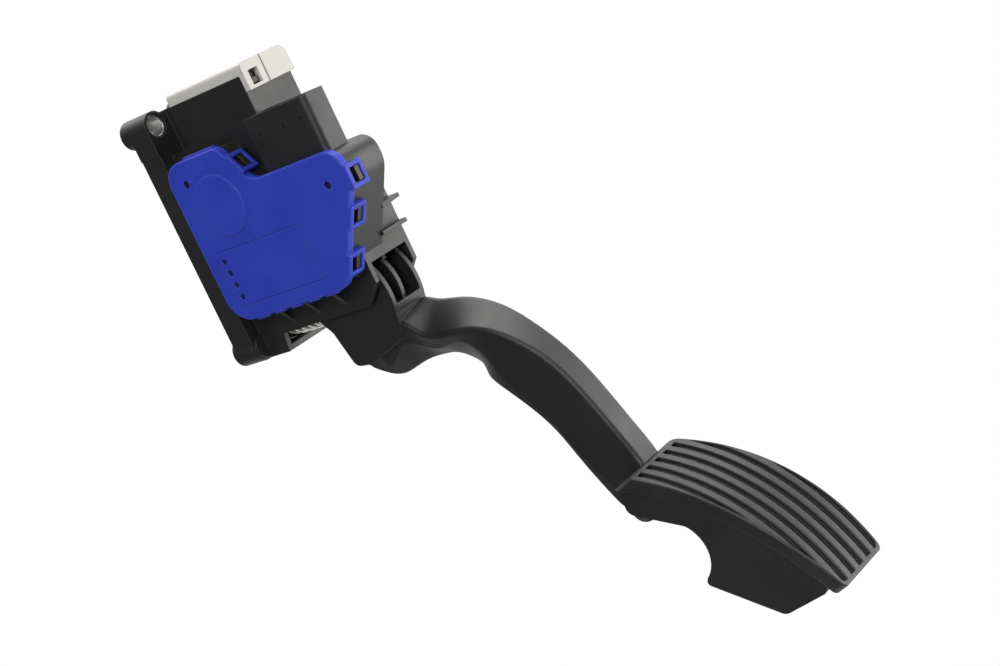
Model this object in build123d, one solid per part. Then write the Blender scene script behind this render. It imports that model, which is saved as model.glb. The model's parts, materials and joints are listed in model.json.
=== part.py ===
from build123d import *

import os
from math import cos, radians, sin, tan

# Hanging accelerator pedal module, millimetres.
# The origin is the middle of the bolt pattern, on the face that meets the bulkhead.
# +X points from the bulkhead to the driver, +Z is up, and the sensor side faces -Y.

# Fixings
BOLT_SPAN_Y = 30.0
BOLT_SPAN_Z = 105.0
SLEEVE_BORE = 8.4
SLEEVE_OD = 10.4
BOSS_OD = 13.0
BOSS_LENGTH = 12.5
SPIGOT = 3.4
STANDOFF = 1.8
FLANGE_DEPTH = 11.8
FLANGE_WIDTH = 42.0
FLANGE_TOP = 47.0
FLANGE_WALL = 3.0
FLANGE_FRONT = STANDOFF + FLANGE_DEPTH
NUT_ROOM = 8.1
BOLT_WELL_X = 5.5
BOLT_WELL_SLOPE = 6.0
BOLT_WELL_DROP = 14.5
NECK_WIDTH = 14.0

# Pivot
PIVOT_X = 40.5
PIVOT_Z = 12.0
PIN_DIAMETER = 8.0
PIN_RUN = 0.05
BUSH_OD = 14.0
BUSH_FLANGE_OD = 18.0
BUSH_FLANGE = 1.2
HUB_RADIUS = 14.0
HUB_SIDE_GAP = 0.3
CLIP_THICK = 0.8
CLIP_OD = 13.0
CLIP_GROOVE = 6.4
PIN_TIP = 1.6

# Housing shell
BODY_WIDTH = 28.8
WALL = 2.5
FRONT_X = 90.5
SHOULDER_Z = 11.0
BLOCK_X = 70.5
BLOCK_TOP = 57.0
BODY_BOTTOM = -50.4
HEEL_BOX_X = 26.0
HEEL_BOX_BOTTOM = -58.7
MOUTH_TOP = -33.8
CHEEK_NOSE_Z = -42.0
CHEEK_CHAMFER = 8.8
FIN_THICK = 1.8
FIN_UPPER_Z = -14.5
FIN_LOWER_Z = -25.4
FIN_UPPER_REACH = 10.1
FIN_UPPER_TIP = 6.0
FIN_LOWER_REACH = 4.0
GUSSET_THICK = 1.8
GUSSET_X = 38.6
GUSSET_PITCH = 16.6
GUSSET_COUNT = 3
GUSSET_DROP = 11.0

# Sensor chamber and its cover
COVER_LEFT = 16.9
COVER_RIGHT = 113.0
COVER_TOP = 35.0
COVER_BOTTOM = -38.2
COVER_SHOULDER_X = 51.5
COVER_VALLEY_X = 62.6
COVER_VALLEY_Z = 16.9
COVER_NOSE_Z = 2.2
COVER_TOE_X = 86.0
COVER_FACE_Y = -26.9
COVER_THICK = 2.0
COVER_SKIRT = 1.0
SEAL_THICK = 1.0
CHAMBER_WALL = 2.0
SKIRT_WALL = 1.1
SKIRT_GAP = 0.1
CHAMBER_FLOOR = 2.0
DEEP_BACK_Y = -1.0
DISC_RADIUS = 13.6
DISC_RISE = 0.6
CLIP_REACH = 10.2
CLIP_BAR = 1.8
CLIP_LENGTH = 10.4
CLIP_RISE = 1.4
FIELD_WIDTH = 52.5
FIELD_HEIGHT = 25.2
FIELD_INSET_X = 7.6
FIELD_INSET_Z = 6.7
DIMPLES = 4
DIMPLE_PITCH = 5.5
TABS = 5
TAB_PITCH = 10.6
TAB_WIDTH = 6.8
TAB_RISE = 1.0

# Connector
SHROUD_RIGHT = 105.8
SHROUD_CLEAR = 0.2
SHROUD_DEPTH = 12.9
SHROUD_TOP = 40.4
SHROUD_FLOOR = 19.0
SHROUD_WALL = 1.8
PIN_COUNT = 6
CONTACT = 1.0
CONTACT_PITCH = 4.4
CONTACT_GAP = 0.05
CONTACT_TOP = 33.0
CONTACT_FOOT = 4.0

# Cap over the upper block
CAP_RISE = 5.0
CAP_SKIRT = 12.0
CAP_SKIRT_THICK = 2.8
CAP_WALL = 2.0
CAP_LEFT = 25.4
CAP_GAP = 0.3
CHEST_LEFT = 29.0
CAP_LOOP_Y = -8.3
CAP_LOOP_WIDTH = 5.8

# Arm, foot and pad
RIB = 2.2
FOOT_WIDTH = 30.0
PAD_LENGTH = 96.0
PAD_TOP_WIDTH = 37.0
PAD_MID_WIDTH = 41.6
PAD_TOE_WIDTH = 32.4
PAD_CORNER = 2.5
PAD_THICK = 6.0
PAD_BOW = 10.7
PAD_DRAW_DEG = 27.0
PAD_TOP_X = 172.0
PAD_TOP_Z = -146.5
PAD_PITCH_DEG = -39.9
GROOVES = 7
GROOVE_WIDTH = 3.2
GROOVE_DEPTH = 1.8
GROOVE_PITCH = 6.75
GROOVE_SKEW_DEG = 8.2
GROOVE_SIDE_MARGIN = 1.0
GROOVE_END_MARGIN = 2.2

# Springs
RETURN_AXIS_Z = -45.5
RETURN_REAR_X = 18.0
RETURN_FRONT_X = 44.0
OUTER_COIL = 20.0
OUTER_WIRE = 1.8
INNER_COIL = 13.0
INNER_WIRE = 1.3
SEAT_THICK = 2.0
SEAT_PEG = 8.6
FRICTION_COIL = 15.0
FRICTION_WIRE = 1.5
SHOE_THICK = 6.0
SHOE_GAP = 0.05
SHOE_REACH = 11.0

# Electronics
BOARD_THICK = 1.6
BOARD_GAP = 1.4
ROTOR_RADIUS = 11.5
MAGNET_RADIUS = 10.5
ROTOR_HUB = 6.5
ROTOR_CLEAR = 2.1
CHIP = 4.0
CHIP_THICK = 1.5
BUFFER_THICK = 2.4
BUFFER_HEIGHT = 11.5
REST_GAP = 0.3

CHEEK_Y = BODY_WIDTH / 2
INNER_Y = CHEEK_Y - WALL
RIM_Y = COVER_FACE_Y + COVER_THICK + SEAL_THICK
FLOOR_Y = -CHEEK_Y - CHAMBER_FLOOR
SHROUD_NEAR_Y = RIM_Y + COVER_SKIRT + SHROUD_CLEAR
HUB_WIDTH = 2 * (INNER_Y - BUSH_FLANGE - HUB_SIDE_GAP)
UPPER_BOLT_Z = BOLT_SPAN_Z / 2
BOLT_Y = BOLT_SPAN_Y / 2
LOWER_BOLT_Y = CHEEK_Y + NUT_ROOM
WELL_FLOOR_Z = UPPER_BOLT_Z - BOLT_WELL_DROP


def prism_x(profile, start, end):
    """Sweep a profile drawn in (Y, Z) along X."""
    return extrude(Plane.YZ.offset(start) * profile, amount=end - start)


def prism_y(profile, start, end):
    """Sweep a profile drawn in (X, Z) along Y."""
    return extrude(Plane.XZ.offset(-end) * profile, amount=end - start)


def prism_z(profile, start, end):
    """Sweep a profile drawn in (X, Y) along Z."""
    return extrude(Plane.XY.offset(start) * profile, amount=end - start)


def block(x0, x1, y0, y1, z0, z1):
    """A plain box between two corners."""
    middle = Pos((x0 + x1) / 2, (y0 + y1) / 2, (z0 + z1) / 2)
    return middle * Box(x1 - x0, y1 - y0, z1 - z0)


def rod_x(radius, y, z, start, end):
    """A cylinder along X."""
    return prism_x(Pos(y, z) * Circle(radius), start, end)


def rod_y(radius, x, z, start, end):
    """A cylinder along Y."""
    return prism_y(Pos(x, z) * Circle(radius), start, end)


def rounded(points, radius):
    """A closed outline with rounded corners."""
    return make_face(FilletPolyline(*points, radius=radius, close=True))


def save(node, part):
    export_step(part, f"parts/{node}.step")


# Cover outline, two lobes with a valley under the connector

COVER_CORNERS = [
    (COVER_LEFT, COVER_TOP, 9.5),
    (COVER_SHOULDER_X, COVER_TOP, 5.0),
    (COVER_VALLEY_X, COVER_VALLEY_Z, 8.0),
    (COVER_RIGHT, COVER_VALLEY_Z, 8.5),
    (COVER_RIGHT, COVER_NOSE_Z, 12.0),
    (COVER_TOE_X, COVER_BOTTOM, 8.0),
    (COVER_LEFT, COVER_BOTTOM, 11.5),
]


def cover_outline(inset=0.0):
    """The outline of the sensor cover, moved inwards by inset."""
    points = [(x, z) for x, z, _ in COVER_CORNERS]
    radii = [r for _, _, r in COVER_CORNERS]
    outline = make_face(FilletPolyline(*points, radius=radii, close=True))
    if inset:
        outline = offset(outline, amount=-inset)
    return outline


CASE_INSET = SKIRT_WALL + SKIRT_GAP
CHAMBER_INSET = CASE_INSET + CHAMBER_WALL


def right_of(x):
    """A tall half plane in (X, Z) used to trim outlines."""
    return Pos(x + 100, 0) * Rectangle(200, 400)


# Spring clips on the rim of the cover: the corner before the clip and its share of that edge

CLIPS = [(3, 0.9), (4, 0.34), (4, 0.79), (1, 0.55)]


def clip_plane(corner, share):
    """A plane on the rim whose x runs along the edge and whose z points outwards."""
    start = Vector(COVER_CORNERS[corner][0], COVER_FACE_Y, COVER_CORNERS[corner][1])
    end = Vector(COVER_CORNERS[corner + 1][0], COVER_FACE_Y, COVER_CORNERS[corner + 1][1])
    along = (start - end).normalized()
    return Plane(origin=start + (end - start) * share, x_dir=along, z_dir=Vector(0, 1, 0).cross(along))


def clip_band(corner, share):
    """The blank of one loop, reaching back from the cover's face over the chamber wall."""
    band = Pos(0, -CLIP_REACH / 2) * Rectangle(CLIP_LENGTH, CLIP_REACH)
    return extrude(clip_plane(corner, share).offset(-SKIRT_WALL) * band, amount=SKIRT_WALL + CLIP_RISE)


def clip_window(corner, share):
    """The window of one loop, cut right through its band and the skirt behind it."""
    tall = CLIP_REACH - CLIP_BAR - COVER_THICK
    window = Pos(0, -COVER_THICK - tall / 2) * Rectangle(CLIP_LENGTH - 2 * CLIP_BAR, tall)
    return extrude(clip_plane(corner, share).offset(-SKIRT_WALL - 0.05) * window, amount=10)


def clip_catch(corner, share):
    """The catch of the chamber that stands in the loop's window."""
    at = clip_plane(corner, share).offset(-CASE_INSET - 0.5)
    end = CLIP_REACH - CLIP_BAR - 0.2
    catch = Pos(0, -end + 1.4) * Rectangle(CLIP_LENGTH - 2 * CLIP_BAR - 0.6, 2.8)
    return extrude(at * catch, amount=CASE_INSET + CLIP_RISE)


# Housing


def flange():
    """The mounting flange, hollow behind, with ears for the upper bosses and the lower far one."""
    half = FLANGE_WIDTH / 2
    foot = -UPPER_BOLT_Z - BOSS_OD / 2 + 0.5
    outline = Polygon((-half, foot), (half, foot), (half, FLANGE_TOP), (-half, FLANGE_TOP))
    outline = fillet(outline.vertices().group_by(Axis.Y)[0], BOSS_OD / 2)
    ear = BOSS_OD / 2
    for side in (-1, 1):
        outline += Pos(side * BOLT_Y, UPPER_BOLT_Z) * Circle(ear)
        outline += Pos(side * BOLT_Y, FLANGE_TOP) * Rectangle(BOSS_OD, BOSS_OD)
    outline += Pos(LOWER_BOLT_Y, -UPPER_BOLT_Z) * Circle(ear)
    outline += Pos(LOWER_BOLT_Y / 2, -UPPER_BOLT_Z) * Rectangle(LOWER_BOLT_Y, BOSS_OD)
    plate = prism_x(outline, STANDOFF, FLANGE_FRONT)
    depth = FLANGE_DEPTH - FLANGE_WALL
    bay_height = (BOLT_SPAN_Z - BOSS_OD) / 3
    for row in (-1, 0, 1):
        bay = RectangleRounded(2 * half - 2 * FLANGE_WALL, bay_height - FLANGE_WALL, 2)
        plate -= prism_x(Pos(0, row * bay_height) * bay, STANDOFF, STANDOFF + depth)
    return plate


def bosses():
    """Four bosses along X: the upper two locate in the bulkhead, the lower near one is blind."""
    result = [rod_x(BOSS_OD / 2, y, UPPER_BOLT_Z, -SPIGOT, BOSS_LENGTH) for y in (-BOLT_Y, BOLT_Y)]
    result += [rod_x(BOSS_OD / 2, y, -UPPER_BOLT_Z, 0, BOSS_LENGTH) for y in (-BOLT_Y, LOWER_BOLT_Y)]
    result.append(rod_x(BOSS_OD / 2 - 1.0, -BOLT_Y, -UPPER_BOLT_Z, BOSS_LENGTH, FLANGE_FRONT + 1.2))
    return result


def bolt_wells():
    """Room for a nut in front of each upper boss, with a sloping end in the block."""
    neck = NECK_WIDTH / 2
    end = FLANGE_FRONT + BOLT_WELL_X
    plan = [
        (FLANGE_FRONT, neck),
        (end, neck),
        (end + BOLT_WELL_SLOPE, CHEEK_Y),
        (end + BOLT_WELL_SLOPE, FLANGE_WIDTH),
        (FLANGE_FRONT, FLANGE_WIDTH),
    ]
    far = prism_z(Polygon(*plan), WELL_FLOOR_Z, BLOCK_TOP + 1)
    return [far, mirror(far, Plane.XZ)]


SLEEVE_PLACES = [(-BOLT_Y, UPPER_BOLT_Z), (BOLT_Y, UPPER_BOLT_Z), (LOWER_BOLT_Y, -UPPER_BOLT_Z)]


def body_shell():
    """Cheeks, front wall and upper block as one hollow box, open below and on top."""
    outer = [
        (FLANGE_FRONT - 4, HEEL_BOX_BOTTOM),
        (HEEL_BOX_X, HEEL_BOX_BOTTOM),
        (HEEL_BOX_X + 1.5, BODY_BOTTOM),
        (FRONT_X - CHEEK_CHAMFER, BODY_BOTTOM),
        (FRONT_X, CHEEK_NOSE_Z),
        (FRONT_X, SHOULDER_Z),
        (BLOCK_X, SHOULDER_Z + 3),
        (BLOCK_X, BLOCK_TOP),
        (FLANGE_FRONT - 4, BLOCK_TOP),
    ]
    inner = [
        (FLANGE_FRONT + WALL, HEEL_BOX_BOTTOM + WALL),
        (HEEL_BOX_X, HEEL_BOX_BOTTOM + WALL),
        (HEEL_BOX_X, HEEL_BOX_BOTTOM - 30),
        (FRONT_X + 5, HEEL_BOX_BOTTOM - 30),
        (FRONT_X + 5, MOUTH_TOP),
        (FRONT_X - WALL, MOUTH_TOP),
        (FRONT_X - WALL, SHOULDER_Z - WALL),
        (BLOCK_X - WALL, SHOULDER_Z + 3 - WALL),
        (BLOCK_X - WALL, BLOCK_TOP + 5),
        (CHEST_LEFT, BLOCK_TOP + 5),
        (CHEST_LEFT, WELL_FLOOR_Z - WALL),
        (FLANGE_FRONT + WALL, PIVOT_Z + HUB_RADIUS),
    ]
    shell = prism_y(Polygon(*outer), -CHEEK_Y, CHEEK_Y)
    shell += rod_y(BUSH_OD / 2 + 3, PIVOT_X, PIVOT_Z, CHEEK_Y - 1, CHEEK_Y + 1.5)
    return shell, prism_y(Polygon(*inner), -INNER_Y, INNER_Y)


def chamber():
    """Walls of the sensor chamber, deeper in front of the housing's front wall."""
    case = prism_y(cover_outline(CASE_INSET), RIM_Y, -CHEEK_Y + 0.5)
    deep = cover_outline(CASE_INSET) & right_of(FRONT_X - WALL)
    case += prism_y(deep, -CHEEK_Y, DEEP_BACK_Y)
    for place in CLIPS:
        case += clip_catch(*place)
    hollow = prism_y(cover_outline(CHAMBER_INSET), RIM_Y - 1, FLOOR_Y)
    deep_hollow = cover_outline(CHAMBER_INSET) & right_of(FRONT_X + CHAMBER_WALL)
    hollow += prism_y(deep_hollow, FLOOR_Y - 1, DEEP_BACK_Y - CHAMBER_WALL)
    return case, hollow


def shroud():
    """The connector shroud that rises from the chamber's right lobe."""
    far = SHROUD_NEAR_Y + SHROUD_DEPTH
    outer = block(BLOCK_X - 0.5, SHROUD_RIGHT, SHROUD_NEAR_Y, far, SHOULDER_Z - 4, SHROUD_TOP)
    corner = outer.edges().filter_by(Axis.Z).sort_by(lambda e: e.center().X - e.center().Y)[-1]
    outer = fillet(corner, 3.0)
    inner = block(
        BLOCK_X + SHROUD_WALL,
        SHROUD_RIGHT - SHROUD_WALL,
        SHROUD_NEAR_Y + SHROUD_WALL,
        far - SHROUD_WALL,
        SHROUD_FLOOR,
        SHROUD_TOP + 1,
    )
    pit = SHROUD_NEAR_Y + SHROUD_WALL / 2
    pits = [rod_y(0.9, BLOCK_X + step, SHROUD_TOP - 8.4, SHROUD_NEAR_Y, pit) for step in (5.3, 18.9, 29.2)]
    return outer, [inner, *pits]


def fins():
    """Two stiffening fins between the deep chamber and the front wall."""
    root = FRONT_X - 1
    start = DEEP_BACK_Y - 1
    end = CHEEK_Y
    upper = [(root, start), (FRONT_X + FIN_UPPER_REACH, start), (FRONT_X + FIN_UPPER_TIP, end), (root, end)]
    lower = [(root, start), (FRONT_X + FIN_LOWER_REACH, start), (FRONT_X + FIN_LOWER_REACH, end), (root, end)]
    half = FIN_THICK / 2
    return [
        prism_z(Polygon(*upper), FIN_UPPER_Z - half, FIN_UPPER_Z + half),
        prism_z(Polygon(*lower), FIN_LOWER_Z - half, FIN_LOWER_Z + half),
    ]


def gussets():
    """Triangular webs that carry the overhanging chamber on the near cheek."""
    floor = COVER_BOTTOM + CASE_INSET
    root = -CHEEK_Y + 1
    web = Polygon((SHROUD_NEAR_Y, floor + 1), (root, floor + 1), (root, floor - GUSSET_DROP))
    result = []
    for i in range(GUSSET_COUNT):
        x = GUSSET_X + i * GUSSET_PITCH
        result.append(prism_x(web, x - GUSSET_THICK / 2, x + GUSSET_THICK / 2))
    return result


BOARD_FACE_Y = FLOOR_Y - BOARD_GAP
BOARD_PEGS = [(60.0, -24.0), (80.0, -30.0), (87.0, -8.0)]
SHROUD_MID_X = (BLOCK_X + SHROUD_RIGHT) / 2
CONTACT_X = [SHROUD_MID_X + (i - (PIN_COUNT - 1) / 2) * CONTACT_PITCH for i in range(PIN_COUNT)]
LOCATORS = [(COVER_LEFT + 10.2, COVER_TOP - 9.9), (COVER_RIGHT - 11.5, COVER_NOSE_Z + 1.6)]


def board_posts():
    """Posts in the chamber that the board is staked on."""
    result = []
    for x, z in BOARD_PEGS:
        result.append(rod_y(3.0, x, z, BOARD_FACE_Y, FLOOR_Y + 1))
        result.append(rod_y(1.5, x, z, BOARD_FACE_Y - BOARD_THICK - 0.5, FLOOR_Y))
    return result


def housing():
    """The moulded housing, in one piece with the sensor chamber and the connector."""
    shell, cavity = body_shell()
    case, hollow = chamber()
    socket, socket_cuts = shroud()
    part = flange() + bosses() + shell + case + socket + fins() + gussets()
    part -= [cavity, hollow, *socket_cuts, *bolt_wells()]
    part += board_posts()
    for x, z in LOCATORS:
        foot = DEEP_BACK_Y - 1 if x > FRONT_X else FLOOR_Y + 1
        part += rod_y(1.6, x, z, COVER_FACE_Y + 1.4, foot)
    bore = BUSH_OD / 2
    part -= rod_y(bore, PIVOT_X, PIVOT_Z, FLOOR_Y - 0.1, -INNER_Y)
    part -= rod_y(bore, PIVOT_X, PIVOT_Z, INNER_Y, CHEEK_Y + 1.5)
    for y, z in SLEEVE_PLACES:
        part -= rod_x(SLEEVE_OD / 2, y, z, -SPIGOT, FLANGE_FRONT)
    for x in CONTACT_X:
        y = BOARD_FACE_Y + CONTACT / 2
        half = CONTACT / 2 + CONTACT_GAP
        part -= block(x - half, x + half, y - half, y + half, CONTACT_FOOT + 1, SHROUD_FLOOR + 1)
    catch = CAP_LOOP_WIDTH / 2 - 1
    part += block(
        BLOCK_X - 0.5,
        BLOCK_X + 1.6,
        CAP_LOOP_Y - catch,
        CAP_LOOP_Y + catch,
        BLOCK_TOP - 5,
        BLOCK_TOP - 2.6,
    )
    return part


def sleeves():
    """Steel sleeves that take the bolt load."""
    tube = Circle(SLEEVE_OD / 2) - Circle(SLEEVE_BORE / 2)
    return Compound([prism_x(Pos(y, z) * tube, 0, BOSS_LENGTH).solid() for y, z in SLEEVE_PLACES])


# Cover, seal and cap


def sensor_cover():
    """The clipped cover: a shallow tray with loops, a raised disc and a framed field."""
    outline = cover_outline()
    part = prism_y(outline, COVER_FACE_Y, COVER_FACE_Y + COVER_THICK)
    part += prism_y(outline - cover_outline(SKIRT_WALL), COVER_FACE_Y, RIM_Y + COVER_SKIRT)
    rim = part.faces().sort_by(Axis.Y)[0].outer_wire().edges()
    part = fillet(rim, 0.7)
    part += rod_y(DISC_RADIUS, PIVOT_X, PIVOT_Z, COVER_FACE_Y - DISC_RISE, COVER_FACE_Y + 0.5)
    left = COVER_LEFT + FIELD_INSET_X
    base = COVER_BOTTOM + FIELD_INSET_Z
    field = Pos(left + FIELD_WIDTH / 2, base + FIELD_HEIGHT / 2) * Rectangle(FIELD_WIDTH, FIELD_HEIGHT)
    groove = field - offset(field, amount=-0.35, kind=Kind.INTERSECTION)
    part -= prism_y(groove, COVER_FACE_Y, COVER_FACE_Y + 0.3)
    for i in range(DIMPLES):
        z = base + FIELD_HEIGHT - 4.6 - DIMPLE_PITCH * i
        part -= rod_y(1.5, left + 2.7 + 0.3 * i, z, COVER_FACE_Y, COVER_FACE_Y + 0.5)
    for x, z in LOCATORS:
        part -= rod_y(1.75, x, z, COVER_FACE_Y - 1, RIM_Y)
    for place in CLIPS:
        part += clip_band(*place)
    for place in CLIPS:
        part -= clip_window(*place)
    for i in range(TABS):
        x = COVER_LEFT + 16.1 + TAB_PITCH * i
        part += block(
            x - TAB_WIDTH / 2,
            x + TAB_WIDTH / 2,
            COVER_FACE_Y + 1.2,
            RIM_Y + COVER_SKIRT,
            COVER_BOTTOM - TAB_RISE,
            COVER_BOTTOM + SKIRT_WALL / 2,
        )
    part += block(
        COVER_LEFT + 13.1,
        COVER_SHOULDER_X - 2.5,
        COVER_FACE_Y + 1.4,
        RIM_Y + COVER_SKIRT,
        COVER_TOP - SKIRT_WALL / 2,
        COVER_TOP + TAB_RISE,
    )
    return part


def cover_seal():
    """The gasket between the chamber's rim and the cover."""
    ring = cover_outline(CASE_INSET + 0.4) - cover_outline(CASE_INSET + 1.6)
    return prism_y(ring, RIM_Y - SEAL_THICK, RIM_Y)


def top_cap():
    """The pale cap that closes the upper block, with a snap loop in front."""
    top = BLOCK_TOP + CAP_RISE
    front = BLOCK_X + CAP_SKIRT_THICK
    lid = block(CAP_LEFT, front, -CHEEK_Y, CHEEK_Y, BLOCK_TOP, top)
    lid += block(BLOCK_X, front, -CHEEK_Y, CHEEK_Y, top - CAP_SKIRT, top)
    far_edge = lid.edges().filter_by(Axis.X).group_by(Axis.Z)[-1].sort_by(Axis.Y)[-1]
    lid = fillet(far_edge, 4.5)
    near_edge = lid.edges().filter_by(Axis.X).group_by(Axis.Z)[-1].sort_by(Axis.Y)[0]
    lid = fillet(near_edge, 2.0)
    reach = INNER_Y - CAP_GAP
    lid += block(CHEST_LEFT + CAP_GAP, BLOCK_X - WALL - CAP_GAP, -reach, reach, BLOCK_TOP - 2.5, BLOCK_TOP)
    inner = reach - CAP_WALL
    left = CHEST_LEFT + CAP_GAP + CAP_WALL
    right = BLOCK_X - WALL - CAP_GAP - CAP_WALL
    lid -= block(left, right, -inner, inner, BLOCK_TOP - 2.5, top - CAP_WALL)
    peg = Circle(FRICTION_COIL / 2 - FRICTION_WIRE - 0.3)
    lid += Pos(PIVOT_X, 0, 0) * prism_z(peg, BLOCK_TOP - 4, top - 1)
    half = CAP_LOOP_WIDTH / 2
    window = Pos(CAP_LOOP_Y, BLOCK_TOP - 2.4) * Rectangle(2 * half, 6.4)
    lid -= prism_x(window, BLOCK_X - 0.5, front + 1)
    lid -= block(BLOCK_X + 1.4, front + 1, -1.9, -1.2, top - CAP_SKIRT, top + 1)
    return lid


# Pivot


def pivot_bush(side):
    """A flanged bush pressed into one cheek; side is -1 for the sensor side."""
    tube = Circle(BUSH_OD / 2) - Circle(PIN_DIAMETER / 2 + PIN_RUN)
    collar = Circle(BUSH_FLANGE_OD / 2) - Circle(PIN_DIAMETER / 2 + PIN_RUN)
    outer = CHAMBER_FLOOR + WALL if side < 0 else WALL + 1.5
    at = Pos(PIVOT_X, PIVOT_Z)
    if side < 0:
        bush = prism_y(at * tube, -INNER_Y - outer, -INNER_Y)
        return bush + prism_y(at * collar, -INNER_Y, BUSH_FLANGE - INNER_Y)
    bush = prism_y(at * tube, INNER_Y, INNER_Y + outer)
    return bush + prism_y(at * collar, INNER_Y - BUSH_FLANGE, INNER_Y)


ROTOR_BACK_Y = FLOOR_Y - 0.8
ROTOR_FRONT_Y = COVER_FACE_Y + COVER_THICK + ROTOR_CLEAR
FAR_END_Y = CHEEK_Y + 1.5
CLIP_Y = FAR_END_Y + 0.2


def pivot_pin():
    """The steel pin: pressed in the arm, running in both bushes."""
    pin = rod_y(PIN_DIAMETER / 2, PIVOT_X, PIVOT_Z, ROTOR_FRONT_Y + 1, CLIP_Y + CLIP_THICK + PIN_TIP)
    ring = Circle(PIN_DIAMETER) - Circle(CLIP_GROOVE / 2)
    return pin - prism_y(Pos(PIVOT_X, PIVOT_Z) * ring, CLIP_Y, CLIP_Y + CLIP_THICK)


def pin_clip():
    """The open retaining ring in the pin's far groove."""
    ring = Circle(CLIP_OD / 2) - Circle(CLIP_GROOVE / 2)
    ring -= Pos(0, -CLIP_OD / 2) * Rectangle(CLIP_GROOVE * 0.8, CLIP_OD)
    return prism_y(Pos(PIVOT_X, PIVOT_Z) * ring, CLIP_Y, CLIP_Y + CLIP_THICK)


# Pedal arm: hub, twisted neck, deep lower arm and foot
# Each station is X, Y and Z of the middle, heading, width, depth, roll in degrees,
# height of the crease on the near side, and how far the edge below it is cut back.

ARM_STATIONS = [
    (59.0, 0.0, -64.6, -14, 15.0, 22.0, 0, -6.0, 1.0),
    (68.0, 0.5, -70.4, -9, 16.6, 24.4, 5, -5.0, 2.0),
    (79.0, 1.6, -71.8, -3, 18.4, 22.4, 12, 0.0, 3.0),
    (91.0, 2.0, -70.3, -3, 20.2, 20.4, 17, -0.4, 3.2),
    (96.8, 2.4, -71.5, -1, 21.0, 16.6, 27, -1.1, 2.9),
    (103.0, 2.6, -72.7, 1, 21.2, 15.6, 30, 0.3, 2.6),
    (112.6, 3.6, -77.6, -8, 20.4, 23.0, 26, 5.6, 2.6),
    (121.1, 2.1, -82.4, -28, 18.6, 25.6, 14, 0.0, 1.6),
    (130.6, 0.6, -90.8, -48, 16.4, 27.0, 4, -8.0, 1.0),
    (140.6, 0.3, -103.2, -58, 14.6, 27.0, 0, -10.0, 0.8),
    (149.4, 0.0, -118.8, -66, 13.8, 25.4, 0, -10.0, 0.8),
    (155.4, 0.0, -135.0, -70, 13.4, 25.4, 0, -10.0, 0.8),
    (PAD_TOP_X - 9.9, 0.0, PAD_TOP_Z - 6.5, -62, 13.4, 24.0, 0, -8.0, 0.8),
    (PAD_TOP_X + 4.0, 0.0, PAD_TOP_Z - 18.0, -40, 13.4, 10.0, 0, -2.0, 0.8),
]


def arm_section(x, y, z, heading, width, depth, roll, crease, cut):
    """A creased section square to the heading, rolled towards the sensor side."""
    head = radians(heading)
    twist = radians(roll)
    along = (cos(head), 0, sin(head))
    across = (-sin(head) * sin(twist), cos(twist), cos(head) * sin(twist))
    side = width / 2
    top = depth / 2
    corners = [(-side, top), (side, top), (side, -top), (cut - side, -top), (-side, crease)]
    outline = FilletPolyline(*corners, radius=[2.0, 2.0, 2.0, 1.2, 0.5], close=True)
    return Plane(origin=(x, y, z), x_dir=across, z_dir=along) * make_face(outline)


STOP_X = FRONT_X - WALL - BUFFER_THICK - REST_GAP
STOP_Z = MOUTH_TOP + 10.0
HUB_FRONT = [(87.2, MOUTH_TOP - 2.0), (90.6, -46.5), (89.4, -57.5)]
RIB_SETBACK = 1.6
ROOT_END_X = 84.0
ROOT_LOW_Z = -100.0
POCKET_LIP = 3.5
POCKET_TOP = -12.0


def arm_blade():
    """The curved arm between the hub and the foot, trimmed flush with the hub's sides at its root."""
    blade = loft([arm_section(*station) for station in ARM_STATIONS])
    root = block(PIVOT_X, ROOT_END_X, HUB_WIDTH / 2, FLANGE_WIDTH, ROOT_LOW_Z, MOUTH_TOP)
    return blade - [root, mirror(root, Plane.XZ)]


def arm_hub():
    """The forked hub: a drum with a deep web, ribbed where it leaves the housing."""
    half = HUB_WIDTH / 2
    seat = RETURN_FRONT_X + SEAT_THICK
    web = FilletPolyline(
        HUB_FRONT[2],
        (88.8, -62.5),
        (85.6, -68.6),
        (64.3, -75.4),
        (55.0, -74.5),
        (50.9, -57.7),
        (seat, RETURN_AXIS_Z - 5.0),
        (seat, RETURN_AXIS_Z + 12.5),
        (36.0, -25.0),
        (PIVOT_X - HUB_RADIUS + 0.6, PIVOT_Z - 4),
        (PIVOT_X + 10, PIVOT_Z + 9.8),
        (STOP_X, STOP_Z + BUFFER_HEIGHT / 2 + 1.5),
        (STOP_X, STOP_Z - BUFFER_HEIGHT / 2 - 1.5),
        HUB_FRONT[0],
        radius=[1.5, 1.5, 1.5, 4.0, 1.5, 1.5, 1.5, 1.5, 1.5, 1.5, 1.5, 1.5],
    )
    bow = ThreePointArc(*HUB_FRONT)
    part = prism_y(make_face(Curve() + [web, bow]), -half, half)
    part += rod_y(HUB_RADIUS, PIVOT_X, PIVOT_Z, -half, half)
    return part


def hub_pockets():
    """The two open pockets between the hub's side walls and its centre rib, which stands back a little."""
    half = HUB_WIDTH / 2
    high, middle, low = HUB_FRONT
    floor = low[1] + POCKET_LIP
    ahead = FRONT_X + 5
    pocket = Polygon((70, POCKET_TOP), (70, -44), (85.5, floor), (ahead, floor), (ahead, POCKET_TOP))
    bow = ThreePointArc(
        (high[0] - RIB_SETBACK, high[1]),
        (middle[0] - RIB_SETBACK, middle[1]),
        (low[0] - RIB_SETBACK, floor),
    )
    front = make_face(Curve() + [bow, Polyline(bow @ 1, (ahead, floor), (ahead, high[1]), bow @ 0)])
    return [
        prism_y(pocket, -half + RIB, -RIB / 2),
        prism_y(pocket, RIB / 2, half - RIB),
        prism_y(front, -RIB, RIB),
    ]


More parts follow.
